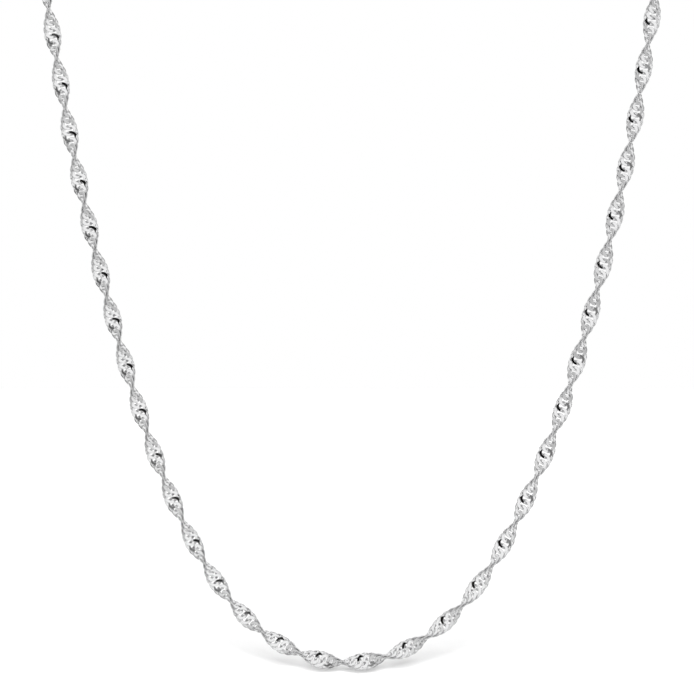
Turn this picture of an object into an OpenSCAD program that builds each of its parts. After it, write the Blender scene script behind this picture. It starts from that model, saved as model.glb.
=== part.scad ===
// Twisted curb chain necklace, hanging as it is worn: a deep U at the front, an arch round the neck.
// The origin is at the middle of the nape, +Z is up, +X is to the right seen from the front,
// and the front hangs towards -Y.

/* [Chain] */
// Width of the chain across its flat
chain_w = 2.0; // [1.6:0.1:2.2]
// Thickness of the flattened chain
chain_t = 0.45; // [0.4:0.05:0.6]
// Mean length of one half twist
half_twist = 5.82; // [5.4:0.02:6.2]
// How uneven the twist hangs: 0 is even all along
uneven = 1; // [0:0.25:1]
// Gap between the two halves of the chain at the lowest point
joint_gap = 0.2; // [0.1:0.05:0.3]

/* [Loop] */
// Half width of the arch round the neck
neck_r = 52; // [48:1:56]
// Way up the loop from its lowest point to the widest part of the arch
neck_rise = 131.3; // [126:0.1:136]
// Height of the flat front before the loop bends back over the shoulders
front_h = 80; // [76:1:90]
// Radius of that bend
bend_r = 50; // [40:1:60]
// How far the loop tips back behind the bend, in degrees
bend_angle = 65; // [50:1:75]
// How far the lowest point hangs to the left of the middle
lean = 0.4; // [0:0.1:1]

/* [Clasp] */
// Mean radius of the clasp's ring
clasp_r = 2.5; // [2.3:0.1:3]
// Wire radius of the clasp's ring
clasp_wire = 0.55; // [0.45:0.05:0.6]
// Mean radius of the clasp's soldered eye
clasp_eye_r = 1.0; // [0.95:0.05:1.1]
// Wire radius of the clasp's soldered eye
clasp_eye_wire = 0.3; // [0.25:0.05:0.3]
// Mean radius of the two end rings
end_ring_r = 1.3; // [1.25:0.05:1.4]
// Wire radius of the two end rings
end_ring_wire = 0.28; // [0.24:0.02:0.28]
// Mean radius of the eye soldered to each chain end
chain_eye_r = 0.8; // [0.78:0.01:0.9]
// Wire radius of that eye
chain_eye_wire = 0.25; // [0.2:0.01:0.25]
// Play where one ring hangs in another
ring_play = 0.15; // [0.12:0.01:0.2]

/* [Hidden] */

// Half of the front, from the lowest point up. Columns: half width, height.
front_half = [
    [0, 0], [4.9, 0.8], [9.4, 3.1], [13.1, 6.4], [16.1, 10.3], [19.1, 15.5],
    [22, 21.9], [24.8, 29.4], [27.4, 38], [30.2, 48.6], [32.8, 60.4], [34.9, 72.2]
];
// The stretch from the front's top to the arch. Columns: share of the way out, share of the way up.
shoulder_shares = [[0.11, 0.19], [0.28, 0.39], [0.51, 0.58], [0.78, 0.77]];
// Angles of the arch's points, from its widest part to the nape
arch_step = 15;
arch_angles = [0:arch_step:90];
// The lean fades out at this height
lean_h = 35;
// Where the waists of the twist hang. Columns: half twists from the bottom, shift towards the right end.
twist_shifts = [
    [-16, 3.2], [-13, 3.5], [-9, 2.6], [-5, 1.9], [-3, 1.4], [-1, 0.2], [0, -0.5],
    [1, -1.1], [2, -1.6], [3, -1.9], [5, -1.9], [9, -2.0], [12, -1.6], [15, -1.4]
];

front_top = front_half[len(front_half) - 1];
arch_foot = [neck_r, neck_rise];
// The loop's right half laid out flat, with one more point at each end to shape the curve there
flat_points = [
    [-front_half[1][0], front_half[1][1]],
    for (p = front_half) p,
    for (share = shoulder_shares)
        [for (k = [0, 1]) front_top[k] + share[k] * (arch_foot[k] - front_top[k])],
    for (a = arch_angles) arch_foot + neck_r * [cos(a) - 1, sin(a)],
    arch_foot + neck_r * [cos(90 + arch_step) - 1, sin(90 + arch_step)]
];
spans = len(flat_points) - 3;

// A smooth curve through the points. q counts points from the lowest one.
function smooth(a, b, c, d, t) =
    0.5 * (2 * b + (c - a) * t + (2 * a - 5 * b + 4 * c - d) * t * t
        + (3 * b - a - 3 * c + d) * t * t * t);
function flat_at(q) =
    let (i = max(0, min(spans - 1, floor(q))))
    smooth(flat_points[i], flat_points[i + 1], flat_points[i + 2], flat_points[i + 3], q - i);

// The length along the curve, so that places on it can be found by distance
steps_a_span = 24;
fine_q = [for (i = [0:spans * steps_a_span]) i / steps_a_span];
fine_gaps = [for (i = [1:len(fine_q) - 1]) norm(flat_at(fine_q[i]) - flat_at(fine_q[i - 1]))];
length_to_q = [
    for (i = 0, run = 0; i < len(fine_q); run = run + (i < len(fine_gaps) ? fine_gaps[i] : 0), i = i + 1)
        [run, fine_q[i]]
];
half_length = length_to_q[len(length_to_q) - 1][0];

// The flat loop is bent back like a sheet round a level roller
bend_run = bend_r * bend_angle * PI / 180;
function tip(h) = max(0, min(1, (h - front_h) / bend_run)) * bend_angle;
function past_bend(h) = max(0, h - front_h - bend_run);
function bent(x, h) = [
    x,
    bend_r * (1 - cos(tip(h))) + past_bend(h) * sin(bend_angle),
    min(h, front_h) + bend_r * sin(tip(h)) + past_bend(h) * cos(bend_angle)
];
nape = bent(0, neck_rise + neck_r);
function leaned(x, h) = x - lean * max(0, 1 - h / lean_h);

// A place on the loop: side is 1 on the right half and -1 on the left, s the length from the bottom
function place(side, s) =
    let (p = flat_at(lookup(s, length_to_q)))
    bent(leaned(side * p[0], p[1]), p[1]) - nape;
function height_at(s) = flat_at(lookup(s, length_to_q))[1];
// Unit vectors there: along the chain from left to right, square to the sheet, and across the chain
reach = 0.2;
function along(side, s) =
    let (d = place(side, s + reach) - place(side, s - reach)) side * d / norm(d);
function outward(s) = [0, -cos(tip(height_at(s))), sin(tip(height_at(s)))];

// Where things hang in each other at the nape, as lengths from its middle
function hang(r1, w1, r2, w2) = r1 + r2 - w1 - w2 - ring_play;
chain_eye_to_ring = hang(chain_eye_r, chain_eye_wire, end_ring_r, end_ring_wire);
ring_to_clasp_eye = hang(end_ring_r, end_ring_wire, clasp_eye_r, clasp_eye_wire);
ring_to_clasp = hang(end_ring_r, end_ring_wire, clasp_r, clasp_wire);
solder_sink = 0.05;
clasp_eye_offset = clasp_r + clasp_eye_r - solder_sink;
clasp_group = 2 * chain_eye_to_ring + ring_to_clasp_eye + clasp_eye_offset + ring_to_clasp;
chain_eye_at = clasp_group / 2;
end_ring_at = chain_eye_at - chain_eye_to_ring;
clasp_at = end_ring_at - ring_to_clasp - clasp_eye_offset / 2;

// The clasp's thumb stud
stud_r = 0.35;
stud_l = 0.7;
stud_turn = 40;

// The half twists that the chain has made at a length from the lowest point, less than 0 on the left
far_turns = ceil(half_length / half_twist) + 1;
length_to_turns = [
    for (row = [
        [-far_turns, twist_shifts[0][1]], each twist_shifts,
        [far_turns, twist_shifts[len(twist_shifts) - 1][1]]
    ])
        [half_twist * row[0] + uneven * row[1], row[0]]
];
function turns_at(s) = lookup(s, length_to_turns);

// The rings of a half's skin stand evenly along it
chain_start = joint_gap / 2;
chain_end = half_length - chain_eye_at - chain_eye_r;
rings_a_twist = 8;
ring_count = round(chain_end / half_twist * rings_a_twist);
function ring_s(i) = chain_start + (chain_end - chain_start) * i / ring_count;

// The chain's section: a flat six-sided lens, in shares of half its width and half its thickness
section = [[1, 0], [0.62, 1], [-0.62, 1], [-1, 0], [-0.62, -1], [0.62, -1]];
// The last rings narrow to the soldered end
end_shares = [0.3, 0.55, 0.85];
function width_share(i) = ring_count - i < len(end_shares) ? end_shares[ring_count - i] : 1;

// One ring of the twisted ribbon. The flat stands edge on to the front at every whole half twist.
function ribbon_ring(side, i) =
    let (
        s = ring_s(i),
        t = along(side, s),
        n = outward(s),
        b = cross(n, t),
        turn = 90 + 180 * turns_at(side * s),
        v = (b * cos(turn) + n * sin(turn)) * chain_w / 2 * width_share(i),
        w = (n * cos(turn) - b * sin(turn)) * chain_t / 2,
        p = place(side, s)
    )
    [for (c = section) p + c[0] * v + c[1] * w];

// A closed skin over rings of k points each
module skin(rings) {
    k = len(rings[0]);
    last = (len(rings) - 1) * k;
    polyhedron(
        points = [for (ring = rings) each ring],
        faces = [
            [for (j = [0:k - 1]) j],
            for (i = [0:len(rings) - 2], j = [0:k - 1])
                let (a = i * k + j, b = i * k + (j + 1) % k)
                each [[a, b + k, b], [a, a + k, b + k]],
            [for (j = [k - 1:-1:0]) last + j]
        ]
    );
}

module wire_ring(mean_r, wire_r) {
    rotate_extrude($fn = 32)
        translate([mean_r, 0])
            circle(r = wire_r, $fn = 16);
}

// Puts a piece at a length from the middle of the nape, X along the loop and Z square to its sheet
module at_nape(distance) {
    a = distance / neck_r * 180 / PI;
    rotate([90 - bend_angle, 0, 0])
        translate([0, -neck_r, 0])
            rotate([0, 0, -a])
                translate([0, neck_r, 0])
                    children();
}

// Half of the chain: the links' twisted ribbon and the eye soldered to its last link
module chain_half(side) {
    i_first = side > 0 ? 0 : ring_count;
    color("silver") {
        skin([for (k = [0:ring_count]) ribbon_ring(side, abs(i_first - k))]);
        at_nape(side * chain_eye_at)
            rotate([90, 0, 0])
                wire_ring(chain_eye_r, chain_eye_wire);
    }
}

module chain_left() {
    chain_half(-1);
}

module chain_right() {
    chain_half(1);
}

// The clasp lies flat against the nape: a ring, the eye soldered to it and its thumb stud
module clasp() {
    color("silver")
        at_nape(clasp_at)
            rotate([90, 0, 0]) {
                translate([clasp_eye_offset / 2, 0, 0]) {
                    wire_ring(clasp_r, clasp_wire);
                    rotate([0, 0, stud_turn])
                        translate([clasp_r + clasp_wire / 2, 0, 0])
                            rotate([0, 90, 0])
                                cylinder(r = stud_r, h = clasp_wire / 2 + stud_l, $fn = 24);
                }
                translate([-clasp_eye_offset / 2, 0, 0])
                    wire_ring(clasp_eye_r, clasp_eye_wire);
            }
}

module end_ring(side) {
    color("silver")
        at_nape(side * end_ring_at)
            wire_ring(end_ring_r, end_ring_wire);
}

module end_ring_left() {
    end_ring(-1);
}

module end_ring_right() {
    end_ring(1);
}

chain_left();
chain_right();
clasp();
end_ring_left();
end_ring_right();
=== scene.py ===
from math import cos, pi, radians

import bpy
import numpy as np
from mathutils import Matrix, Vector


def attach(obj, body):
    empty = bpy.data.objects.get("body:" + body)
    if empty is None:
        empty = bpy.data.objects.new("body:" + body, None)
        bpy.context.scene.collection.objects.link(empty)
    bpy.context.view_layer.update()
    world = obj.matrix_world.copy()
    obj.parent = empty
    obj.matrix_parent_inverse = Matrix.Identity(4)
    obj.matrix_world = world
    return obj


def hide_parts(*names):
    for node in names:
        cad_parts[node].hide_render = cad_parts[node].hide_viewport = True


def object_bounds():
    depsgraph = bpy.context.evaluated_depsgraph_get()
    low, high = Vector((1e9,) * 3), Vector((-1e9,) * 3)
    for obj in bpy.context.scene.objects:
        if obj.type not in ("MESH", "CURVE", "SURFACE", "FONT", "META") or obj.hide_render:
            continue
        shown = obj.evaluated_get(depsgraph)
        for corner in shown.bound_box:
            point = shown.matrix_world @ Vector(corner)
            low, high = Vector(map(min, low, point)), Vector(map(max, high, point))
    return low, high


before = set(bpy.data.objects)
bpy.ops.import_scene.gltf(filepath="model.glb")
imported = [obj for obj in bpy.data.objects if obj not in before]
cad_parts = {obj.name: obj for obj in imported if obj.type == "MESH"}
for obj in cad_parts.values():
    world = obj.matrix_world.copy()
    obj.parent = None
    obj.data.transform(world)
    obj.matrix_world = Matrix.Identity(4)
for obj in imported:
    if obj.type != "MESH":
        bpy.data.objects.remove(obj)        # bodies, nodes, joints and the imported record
cadLow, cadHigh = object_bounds()
mm = 0.001
print("frame loaded:", sorted(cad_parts))


# the loop, in mm: a flat teardrop bent back over the shoulders, its nape at the origin
loop = {
    # half of the front, from its lowest point up: half width, height
    "frontHalf": [
        (0, 0), (4.9, 0.8), (9.4, 3.1), (13.1, 6.4), (16.1, 10.3), (19.1, 15.5),
        (22, 21.9), (24.8, 29.4), (27.4, 38), (30.2, 48.6), (32.8, 60.4), (34.9, 72.2),
    ],
    # from the front's top to the arch: share of the way out, share of the way up
    "shoulderShares": [(0.11, 0.19), (0.28, 0.39), (0.51, 0.58), (0.78, 0.77)],
    "neckRadius": 52.0,         # half width of the arch round the neck
    "neckRise": 131.3,          # from the lowest point up to the arch's widest part
    "archStep": 15,             # degrees between the arch's points
    "curveSteps": 24,           # steps of the smooth curve from one point to the next
    "reach": 0.2,               # how far to either side the curve's direction is taken
    "frontHeight": 80.0,        # up to here the front hangs flat
    "bendRadius": 50.0,
    "bendAngle": radians(65),   # how far the loop tips back behind the bend
    "lean": 0.4,                # how far the lowest point hangs to the left
    "leanHeight": 35.0,         # where that has faded out
}

# how the twist hangs along the loop
twist = {
    "halfTwist": 5.82,          # its mean length in mm
    # half twists from the bottom, and how far that waist hangs towards the right end in mm
    "shifts": [
        (-16, 3.2), (-13, 3.5), (-9, 2.6), (-5, 1.9), (-3, 1.4), (-1, 0.2), (0, -0.5),
        (1, -1.1), (2, -1.6), (3, -1.9), (5, -1.9), (9, -2.0), (12, -1.6), (15, -1.4),
    ],
    "farTurns": 60,             # more half twists than either half of the loop has
    # a link's number, and its middle in mm from the bottom
    "links": [
        (-310, -221.41), (-124, -86.02), (-100, -68.48), (-28, -18.17), (0, 2.12),
        (24, 18.88), (64, 47.98), (112, 83.16), (302, 221.41),
    ],
}


def turnsAt(s):
    # the half twists made at s, counted from the bottom and less than 0 on the left
    shifts, far = twist["shifts"], twist["farTurns"]
    rows = [(-far, shifts[0][1]), *shifts, (far, shifts[-1][1])]
    turns, shift = np.array(rows).T
    return np.interp(s, twist["halfTwist"] * turns + shift, turns)


def smoothCurve(points):
    # a smooth curve through all but the first and the last of the points
    p = np.array(points, float)
    t = (np.arange(loop["curveSteps"]) / loop["curveSteps"])[:, None]
    rows = []
    for a, b, c, d in zip(p, p[1:], p[2:], p[3:]):
        rows.append(0.5 * (2 * b + (c - a) * t + (2 * a - 5 * b + 4 * c - d) * t**2
                           + (3 * b - a - 3 * c + d) * t**3))
    return np.vstack([*rows, p[-2:-1]])


def layLoop():
    # the right half laid out flat, and the length along it at each of its points
    front = loop["frontHalf"]
    r, rise = loop["neckRadius"], loop["neckRise"]
    top = np.array(front[-1])
    foot = np.array((r, rise))
    shoulder = [tuple(top + np.array(share) * (foot - top)) for share in loop["shoulderShares"]]
    angles = np.radians(np.arange(0, 90 + 2 * loop["archStep"], loop["archStep"]))
    arch = [(r * np.cos(a), rise + r * np.sin(a)) for a in angles]
    curve = smoothCurve([(-front[1][0], front[1][1]), *front, *shoulder, *arch])
    length = np.concatenate([[0], np.cumsum(np.linalg.norm(np.diff(curve, axis=0), axis=1))])
    return length, curve


loopLength, loopCurve = layLoop()


def bendBack(x, h):
    # the flat loop is bent like a sheet round a level roller
    front, radius, angle = loop["frontHeight"], loop["bendRadius"], loop["bendAngle"]
    run = radius * angle
    tip = np.clip((h - front) / run, 0, 1) * angle
    past = np.maximum(0, h - front - run)
    y = radius * (1 - np.cos(tip)) + past * np.sin(angle)
    z = np.minimum(h, front) + radius * np.sin(tip) + past * np.cos(angle)
    return np.stack([x, y, z], axis=-1), tip


napePoint = bendBack(np.array(0.0), np.array(loop["neckRise"] + loop["neckRadius"]))[0]


def onLoop(s):
    # s runs from the left end through 0 at the lowest point to the right end, in mm
    w = np.interp(np.abs(s), loopLength, loopCurve[:, 0]) * np.sign(s)
    h = np.interp(np.abs(s), loopLength, loopCurve[:, 1])
    x = w - loop["lean"] * np.maximum(0, 1 - h / loop["leanHeight"])
    point, tip = bendBack(x, h)
    return point - napePoint, tip


def loopFrame(s):
    # a place on the loop, and the directions along it, across it and square to its sheet
    point, tip = onLoop(s)
    along = onLoop(s + loop["reach"])[0] - onLoop(s - loop["reach"])[0]
    along /= np.linalg.norm(along, axis=-1, keepdims=True)
    outward = np.stack([0 * tip, -np.cos(tip), np.sin(tip)], axis=-1)
    across = np.cross(outward, along)
    return point, along, across, outward


print("loop laid, mm round:", round(2 * loopLength[-1], 1))


# the photo's view: level, square to the hanging front, through a long lens
shot = {
    "pixel": 0.118 * mm,        # width of a photo pixel at the front of the necklace
    "photoSize": (694, 700),    # in pixels
    "loopMiddle": 351.15,       # pixel column of the loop's middle
    "loopBottom": 662.4,        # pixel row of the chain's lowest point, on its centreline
    "distance": 420 * mm,       # from the camera to the necklace
    "sensor": 36.0,             # its width in mm
    "clip": (0.01, 20),         # the nearest and the farthest that it sees
}

lowPoint = onLoop(np.array(0.0))[0] * mm
middleX = (shot["photoSize"][0] / 2 - shot["loopMiddle"]) * shot["pixel"]
middleZ = lowPoint[2] + (shot["loopBottom"] - shot["photoSize"][1] / 2) * shot["pixel"]
cameraData = bpy.data.cameras.new("photoCamera")
cameraData.sensor_width = shot["sensor"]
cameraData.lens = shot["sensor"] * shot["distance"] / (shot["photoSize"][1] * shot["pixel"])
cameraData.clip_start, cameraData.clip_end = shot["clip"]
camera = bpy.data.objects.new("photoCamera", cameraData)
camera.location = (middleX, lowPoint[1] - shot["distance"], middleZ)
camera.rotation_euler = (radians(90), 0, 0)
bpy.context.scene.collection.objects.link(camera)
bpy.context.scene.camera = camera
print("camera placed, lens", round(cameraData.lens, 1))


# one link of the double curb chain, in mm, and how its faces are cut
link = {
    "reach": 0.888,             # half its length, to the middle of the wire
    "halfWidth": 0.79,          # to the middle of the wire
    "curb": 0.16,               # how far the wire rises and dips off the ribbon's surface
    "curbSquare": 1.8,          # how soon it gets there on its way across
    "pressed": 0.21,            # both faces of the chain are pressed flat at this height
    "tipWidth": 0.29,           # the flattened wire's width at the link's two ends
    "sideWidth": 0.44,          # and at its two sides
    "wireThickness": 0.14,
    # the four cut bars: place round the link in degrees, which face, tilt in degrees
    "bars": [(135, 1, 6), (225, -1, 6), (315, 1, 10), (45, -1, 10)],
    "barLength": 46,            # how far a bar's flat runs round the link to either side, in degrees
    "barHeight": 0.20,          # its height above the ribbon's surface
    "steps": 40,                # rows of points round the link
    # the wire's section, in shares of its half width and half thickness
    "section": [
        (1, 0.5), (0.84, 1), (-0.84, 1), (-1, 0.5), (-1, -0.5), (-0.84, -1), (0.84, -1), (1, -0.5),
    ],
    "broadFrom": 0.9,           # past this share of the half thickness a corner is on a broad face
}


def linkRow(side):
    # every link of one half as rows of points, and which bar each row belongs to
    steps = link["steps"]
    t = np.arange(steps) * 2 * pi / steps
    numbers, places = np.array(twist["links"], float).T
    middle = np.interp(np.arange(numbers[0], numbers[-1] + 1), numbers, places)
    middle = middle[side * middle > 0]
    count = len(middle)

    def onRibbon(t):
        # points on the twisted ribbon, edge on to the front at every whole half twist
        s = middle[:, None] + link["reach"] * np.cos(t)
        point, along, across, outward = loopFrame(s)
        turn = (pi / 2 + pi * turnsAt(s))[..., None]
        wide = across * np.cos(turn) + outward * np.sin(turn)
        up = outward * np.cos(turn) - across * np.sin(turn)
        return point + link["halfWidth"] * np.sin(t)[..., None] * wide, wide, up

    # the wire's middle, which passes over and under its neighbours
    flat, wide, up = onRibbon(np.broadcast_to(t, (count, steps)))
    rise = np.tanh(link["curbSquare"] * np.sin(2 * t)) / np.tanh(link["curbSquare"])
    centre = flat - link["curb"] * rise[:, None] * up
    path = np.roll(centre, -1, 1) - np.roll(centre, 1, 1)
    path /= np.linalg.norm(path, axis=-1, keepdims=True)
    high = up - (up * path).sum(-1, keepdims=True) * path
    high /= np.linalg.norm(high, axis=-1, keepdims=True)
    broad = np.cross(path, high)

    # its section, pressed flat on both faces of the chain
    section = np.array(link["section"])
    width = link["tipWidth"] + (link["sideWidth"] - link["tipWidth"]) * np.sin(t)[:, None, None]**2
    points = (centre[:, :, None] + width / 2 * section[:, 0, None] * broad[:, :, None]
              + link["wireThickness"] / 2 * section[:, 1, None] * high[:, :, None])
    height = ((points - flat[:, :, None]) * up[:, :, None]).sum(-1, keepdims=True)
    points += (np.clip(height, -link["pressed"], link["pressed"]) - height) * up[:, :, None]

    # the bars, each cut to one tilted plane
    barOf = np.zeros(steps, int)
    for number, (place, face, tilt) in enumerate(link["bars"], 1):
        rows = np.abs((t - radians(place) + pi) % (2 * pi) - pi) < radians(link["barLength"])
        corners = section[:, 1] * face > link["broadFrom"]
        barFlat, barWide, barUp = onRibbon(np.full((count, 1), radians(place)))
        normal = face * barUp + np.sign(np.sin(radians(place))) * np.tan(radians(tilt)) * barWide
        normal /= np.linalg.norm(normal, axis=-1, keepdims=True)
        level = barFlat + face * link["barHeight"] * barUp
        onBar = np.ix_(np.arange(count), rows, corners)
        over = ((points[onBar] - level[:, :, None]) * normal[:, :, None]).sum(-1, keepdims=True)
        points[onBar] -= over * normal[:, :, None]
        barOf[rows] = number
    return points * mm, barOf


# the eye soldered to each end of the chain, in mm
eye = {
    "fromNape": 5.34,           # from the nape to its middle, along the loop
    "radius": 0.8,
    "wire": 0.25,               # radius of its wire
    "steps": (40, 16),          # round the eye and round its wire
    "beadFromNape": 6.14,
    "bead": (0.34, 0.30, 0.24),  # radii along the chain, across it and square to it
}


def netQuads(rows, columns):
    # quads between rows of points, closed round both ways
    index = np.arange(rows * columns).reshape(rows, columns)
    nextRow, nextColumn = np.roll(index, -1, 0), np.roll(index, -1, 1)
    return np.stack([index, nextColumn, np.roll(nextRow, -1, 1), nextRow], axis=-1).reshape(-1, 4)


def eyeParts(side):
    # points and faces of the ring, and of the bead of solder between it and the last link
    rows, columns = eye["steps"]
    a = np.arange(rows)[:, None] * 2 * pi / rows
    b = np.arange(columns) * 2 * pi / columns
    point, along, across, outward = loopFrame(np.array(side * (loopLength[-1] - eye["fromNape"])))
    r = (eye["radius"] + eye["wire"] * np.cos(b))[..., None]
    ring = point + r * (np.cos(a)[..., None] * along + np.sin(a)[..., None] * outward)
    ring = ring + (eye["wire"] * np.sin(b))[..., None] * across
    ringFaces = netQuads(rows, columns).tolist()

    point, along, across, outward = loopFrame(np.array(side * (loopLength[-1] - eye["beadFromNape"])))
    c = (np.arange(columns) + 0.5)[:, None] * pi / columns
    u, v, w = eye["bead"]
    bead = (point + u * np.cos(c)[..., None] * along + v * (np.sin(c) * np.cos(b))[..., None] * across
            + w * (np.sin(c) * np.sin(b))[..., None] * outward)
    beadFaces = netQuads(columns, columns)[:-columns, ::-1].tolist()
    firstCap = list(range(columns))
    lastCap = list(range(columns * columns - 1, columns * columns - columns - 1, -1))
    return [
        (ring.reshape(-1, 3) * mm, ringFaces),
        (bead.reshape(-1, 3) * mm, [*beadFaces, firstCap, lastCap]),
    ]


def linkMesh(name, side):
    points, barOf = linkRow(side)
    count, steps, corners = points.shape[:3]
    index = np.arange(count * steps * corners).reshape(count, steps, corners)
    nextRow, nextCorner = np.roll(index, -1, 1), np.roll(index, -1, 2)
    quads = np.stack([index, nextRow, np.roll(nextRow, -1, 2), nextCorner], axis=-1).reshape(-1, 4)

    parts = [(points.reshape(-1, 3), quads.tolist()), *eyeParts(side)]
    faces = []
    start = 0
    for partPoints, partFaces in parts:
        faces += [[start + corner for corner in face] for face in partFaces]
        start += len(partPoints)
    mesh = bpy.data.meshes.new(name)
    mesh.from_pydata(np.vstack([partPoints for partPoints, partFaces in parts]), [], faces)

    # the bars' faces are flat and freshly cut, all the others are smooth
    barFace = np.array([bar[1] for bar in link["bars"]])[barOf - 1]
    sameBar = (barOf > 0) & (barOf == np.roll(barOf, -1))
    section = np.array(link["section"])[:, 1]
    top = (section > link["broadFrom"]) & (np.roll(section, -1) > link["broadFrom"])
    bottom = (section < -link["broadFrom"]) & (np.roll(section, -1) < -link["broadFrom"])
    onBar = sameBar[:, None] & np.where(barFace[:, None] > 0, top, bottom)
    cut = np.zeros(len(faces), bool)
    cut[:len(quads)] = np.broadcast_to(onBar, index.shape).ravel()
    mesh.polygons.foreach_set("use_smooth", ~cut)
    mesh.polygons.foreach_set("material_index", cut.astype(np.int32))
    mesh.update()
    piece = bpy.data.objects.new(name, mesh)
    bpy.context.scene.collection.objects.link(piece)
    print(name, "links", count, "triangles", 2 * len(quads))
    return piece


# the silver of the links' wire, of their cut bars and of the clasp
silver = {
    "colour": (0.90, 0.90, 0.905, 1),
    "paintedGapShade": (0.72, 0.72, 0.725, 1),  # painted shade in the gaps between the links
    "gap": 0.3 * mm,            # how near the next link darkens it
    "gapEdge": (0.25, 0.85),    # how open the place is where the painted shade is full, and where it ends
    "gapSamples": 8,
    "wearScale": 900,           # patches of about a millimetre
    "wearDetail": 3,
    "wearSpread": (0.35, 0.65),  # the patches' values that give the least and the most roughness
    "wearDepth": 0.02 * mm,
    "wire": (1, 0.08, 0.20, 0.4),  # share of painted gap shade, least and most roughness, unevenness
    "cut": (1, 0.03, 0.08, 0.05),
    "clasp": (0.6, 0.06, 0.16, 0.3),
}


def wearAndGapShadeGroup():
    # painted shade, the metal darker in the gaps, and wear: its roughness from place to place, and
    # its faint unevenness
    group = bpy.data.node_groups.new("wearAndGapShade", "ShaderNodeTree")
    tree = group.interface
    for name in ("PaintedGapShade", "Least", "Most", "Unevenness"):
        tree.new_socket(name=name, in_out="INPUT", socket_type="NodeSocketFloat")
    tree.new_socket(name="Colour", in_out="OUTPUT", socket_type="NodeSocketColor")
    tree.new_socket(name="Roughness", in_out="OUTPUT", socket_type="NodeSocketFloat")
    tree.new_socket(name="Normal", in_out="OUTPUT", socket_type="NodeSocketVector")
    nodes, links = group.nodes, group.links
    given = nodes.new("NodeGroupInput")
    result = nodes.new("NodeGroupOutput")

    # painted shade: the base colour turns darker where the next link is near
    nearness = nodes.new("ShaderNodeAmbientOcclusion")
    nearness.samples = silver["gapSamples"]
    nearness.inputs["Distance"].default_value = silver["gap"]
    shut = nodes.new("ShaderNodeMapRange")
    shut.inputs["From Min"].default_value = silver["gapEdge"][0]
    shut.inputs["From Max"].default_value = silver["gapEdge"][1]
    shut.inputs["To Max"].default_value = 0
    links.new(nearness.outputs["AO"], shut.inputs["Value"])
    links.new(given.outputs["PaintedGapShade"], shut.inputs["To Min"])
    tone = nodes.new("ShaderNodeMix")
    tone.data_type = "RGBA"
    factor, clean, dark = tone.inputs[0], tone.inputs[6], tone.inputs[7]
    clean.default_value, dark.default_value = silver["colour"], silver["paintedGapShade"]
    links.new(shut.outputs["Result"], factor)
    links.new(tone.outputs[2], result.inputs["Colour"])

    place = nodes.new("ShaderNodeTexCoord")
    patches = nodes.new("ShaderNodeTexNoise")
    patches.inputs["Scale"].default_value = silver["wearScale"]
    patches.inputs["Detail"].default_value = silver["wearDetail"]
    links.new(place.outputs["Object"], patches.inputs["Vector"])
    spread = nodes.new("ShaderNodeMapRange")
    spread.inputs["From Min"].default_value = silver["wearSpread"][0]
    spread.inputs["From Max"].default_value = silver["wearSpread"][1]
    links.new(patches.outputs["Fac"], spread.inputs["Value"])
    links.new(given.outputs["Least"], spread.inputs["To Min"])
    links.new(given.outputs["Most"], spread.inputs["To Max"])
    links.new(spread.outputs["Result"], result.inputs["Roughness"])
    bump = nodes.new("ShaderNodeBump")
    bump.inputs["Distance"].default_value = silver["wearDepth"]
    links.new(given.outputs["Unevenness"], bump.inputs["Strength"])
    links.new(patches.outputs["Fac"], bump.inputs["Height"])
    links.new(bump.outputs["Normal"], result.inputs["Normal"])
    return group


wearAndGapShade = wearAndGapShadeGroup()


def silverMaterial(name, paintedGapShade, least, most, unevenness):
    material = bpy.data.materials.new(name)
    material.use_nodes = True
    nodes, links = material.node_tree.nodes, material.node_tree.links
    shader = nodes["Principled BSDF"]
    shader.inputs["Metallic"].default_value = 1
    wear = nodes.new("ShaderNodeGroup")
    wear.node_tree = wearAndGapShade
    wear.inputs["PaintedGapShade"].default_value = paintedGapShade
    wear.inputs["Least"].default_value = least
    wear.inputs["Most"].default_value = most
    wear.inputs["Unevenness"].default_value = unevenness
    # the base colour carries the painted shade in the gaps
    links.new(wear.outputs["Colour"], shader.inputs["Base Color"])
    links.new(wear.outputs["Roughness"], shader.inputs["Roughness"])
    links.new(wear.outputs["Normal"], shader.inputs["Normal"])
    return material


wireSilver = silverMaterial("wireSilver", *silver["wire"])
cutSilver = silverMaterial("cutSilver", *silver["cut"])
claspSilver = silverMaterial("claspSilver", *silver["clasp"])
print("silver made:", wireSilver.name, cutSilver.name, claspSilver.name)

for side, node in ((-1, "chain_left"), (1, "chain_right")):
    piece = linkMesh("links_" + node.split("_")[1], side)
    piece.data.materials.append(wireSilver)
    piece.data.materials.append(cutSilver)
    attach(piece, "root")
    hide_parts(node)

for node in ("clasp", "end_ring_left", "end_ring_right"):
    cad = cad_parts[node]
    cad.data.materials.clear()
    cad.data.materials.append(claspSilver)
print("clasp and end rings polished")


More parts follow.
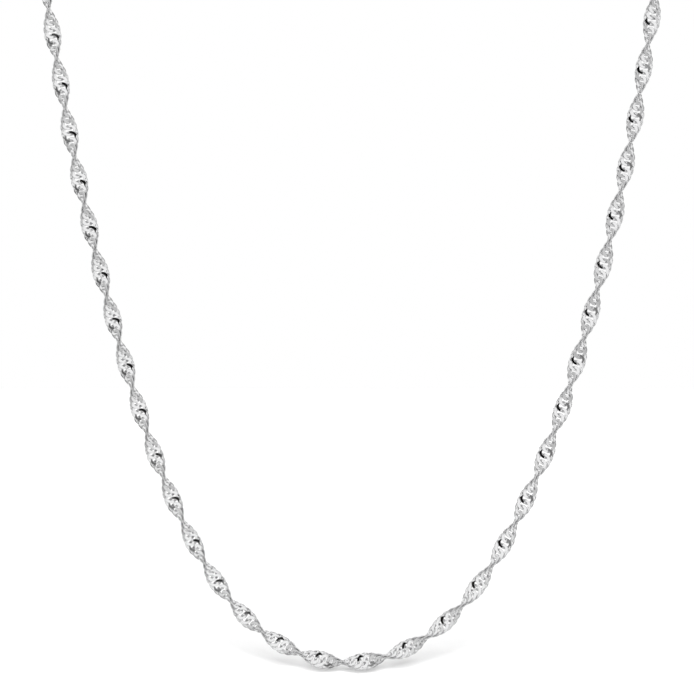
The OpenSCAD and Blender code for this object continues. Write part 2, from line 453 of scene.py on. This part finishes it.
# a pale floor under the necklace, and a white tent round it with dark places that the silver reflects
room = {
    "floorDrop": 0.8 * mm,      # how far it lies under the lowest link
    "floorSize": 6.0,
    "floorColour": 0.9,
    "tentWhite": 0.94,          # the tent's tone at the front
    "tentGrey": 0.91,           # and behind
    "tentAxis": (-0.21, -0.98, 0.0),  # which way the front is
    "tentEdge": (0.30, 0.60),   # how squarely a place faces that way where grey turns to white
    "sideTone": 0.60,           # the tent's two sides are darker, in this share
    "sideEdge": (0.84, 0.93),
    "groundTone": 0.70,         # and so is the part below
    "groundEdge": (-0.45, -0.70),
    # dark round spots in the tent: which way, and how wide in degrees from their middle
    "spots": [
        ((-0.93, -0.28, -0.22), 12), ((-0.76, -0.45, -0.45), 9), ((0, -0.28, -0.96), 11),
        ((0.67, -0.69, -0.27), 9), ((0.54, -0.84, -0.06), 5),
    ],
    "spotTone": 0.2,
    "spotEdge": 3,              # degrees over which a spot fades, to either side of its width
    # the tent's front, left open in places round the camera: low x, low z, high x, high z in mm
    "slots": [
        (-74, -121.8, -4.6, -95), (-8, -133, 1, -121.8), (-4.6, -121.8, 1, -95), (-74, -95, -4, -84),
        (-62, -84, -18, -30), (-68, -84, -62, -59.2), (-72, -52, -62, -26), (-40, 0, 0, 45),
        (36, -94, 52, -30), (22, -30, 58, 0),
    ],
    "slotAway": 140 * mm,       # how far in front of the necklace
    "slotTone": 0.01,
    "daylight": 0.31,           # how much light the tent gives to the floor
    "sunLift": 7,               # degrees above level, straight from the front
    "sunStrength": 24.3,
    "sunWidth": 12,             # degrees, for a soft shadow
}


def mattMaterial(name, tone):
    material = bpy.data.materials.new(name)
    material.use_nodes = True
    shader = material.node_tree.nodes["Principled BSDF"]
    shader.inputs["Base Color"].default_value = (tone, tone, tone, 1)
    shader.inputs["Roughness"].default_value = 1
    shader.inputs["Specular IOR Level"].default_value = 0
    return material


def addSheets(name, corners, material):
    # a flat sheet for every four corners
    mesh = bpy.data.meshes.new(name)
    mesh.from_pydata(corners, [], np.arange(len(corners)).reshape(-1, 4).tolist())
    mesh.materials.append(material)
    sheets = bpy.data.objects.new(name, mesh)
    bpy.context.scene.collection.objects.link(sheets)
    return sheets


half = room["floorSize"] / 2
floorCorners = [(-half, -half, 0), (half, -half, 0), (half, half, 0), (-half, half, 0)]
floor = addSheets("floor", floorCorners, mattMaterial("floorPale", room["floorColour"]))
floor.location = (0, 0, cadLow[2] - room["floorDrop"])
floor.visible_glossy = False

slotCorners = []
for x0, z0, x1, z1 in room["slots"]:
    slotCorners += [(x0, 0, z0), (x1, 0, z0), (x1, 0, z1), (x0, 0, z1)]
slots = addSheets("slotDark", np.array(slotCorners) * mm, mattMaterial("slotDark", room["slotTone"]))
slots.location.y = lowPoint[1] - room["slotAway"]
slots.visible_camera = False      # only the silver sees them
slots.visible_diffuse = False
slots.visible_shadow = False
print("floor laid, tent open in", len(room["slots"]), "places")

world = bpy.data.worlds.new("tent")
bpy.context.scene.world = world
world.use_nodes = True
nodes, links = world.node_tree.nodes, world.node_tree.links
nodes.clear()
direction = nodes.new("ShaderNodeTexCoord")
axes = nodes.new("ShaderNodeSeparateXYZ")
links.new(direction.outputs["Generated"], axes.inputs[0])
sideways = nodes.new("ShaderNodeMath")
sideways.operation = "ABSOLUTE"
links.new(axes.outputs["X"], sideways.inputs[0])


def towards(axis):
    # how squarely a place in the tent lies that way
    facing = nodes.new("ShaderNodeVectorMath")
    facing.operation = "DOT_PRODUCT"
    facing.inputs[1].default_value = axis
    links.new(direction.outputs["Generated"], facing.inputs[0])
    return facing.outputs["Value"]


def toneOver(value, edge, tones):
    # one tone before the edge, the other past it
    step = nodes.new("ShaderNodeMapRange")
    step.interpolation_type = "SMOOTHSTEP"
    for socket, number in zip(("From Min", "From Max", "To Min", "To Max"), (*edge, *tones)):
        step.inputs[socket].default_value = number
    links.new(value, step.inputs["Value"])
    return step.outputs["Result"]


# the tent's tone is the product of all of these
tones = [
    toneOver(towards(room["tentAxis"]), room["tentEdge"], (room["tentGrey"], room["tentWhite"])),
    toneOver(sideways.outputs[0], room["sideEdge"], (1, room["sideTone"])),
    toneOver(axes.outputs["Z"], room["groundEdge"], (1, room["groundTone"])),
]
for axis, width in room["spots"]:
    axis = np.array(axis) / np.linalg.norm(axis)
    edge = cos(radians(width + room["spotEdge"])), cos(radians(width - room["spotEdge"]))
    tones.append(toneOver(towards(axis), edge, (1, room["spotTone"])))
tentTone = tones[0]
for tone in tones[1:]:
    both = nodes.new("ShaderNodeMath")
    both.operation = "MULTIPLY"
    links.new(tentTone, both.inputs[0])
    links.new(tone, both.inputs[1])
    tentTone = both.outputs[0]

# the silver reflects the tent, the floor is lit by even daylight, and the camera sees plain white
tent = nodes.new("ShaderNodeBackground")
links.new(tentTone, tent.inputs["Color"])
daylight = nodes.new("ShaderNodeBackground")
daylight.inputs["Color"].default_value = (*3 * (room["daylight"],), 1)
backdrop = nodes.new("ShaderNodeBackground")
backdrop.inputs["Color"].default_value = (1, 1, 1, 1)
path = nodes.new("ShaderNodeLightPath")
lit = nodes.new("ShaderNodeMixShader")
links.new(path.outputs["Is Diffuse Ray"], lit.inputs["Fac"])
links.new(tent.outputs[0], lit.inputs[1])
links.new(daylight.outputs[0], lit.inputs[2])
seen = nodes.new("ShaderNodeMixShader")
links.new(path.outputs["Is Camera Ray"], seen.inputs["Fac"])
links.new(lit.outputs[0], seen.inputs[1])
links.new(backdrop.outputs[0], seen.inputs[2])
output = nodes.new("ShaderNodeOutputWorld")
links.new(seen.outputs[0], output.inputs["Surface"])

# a low sun from the front gives the soft shadow on the floor
sunData = bpy.data.lights.new("lowSun", "SUN")
sunData.energy = room["sunStrength"]
sunData.angle = radians(room["sunWidth"])
sun = bpy.data.objects.new("lowSun", sunData)
sun.rotation_euler = (radians(90 - room["sunLift"]), 0, 0)
sun.visible_glossy = False
bpy.context.scene.collection.objects.link(sun)
print("tent lit, dark spots", len(room["spots"]))

bpy.context.scene.view_settings.view_transform = "Standard"
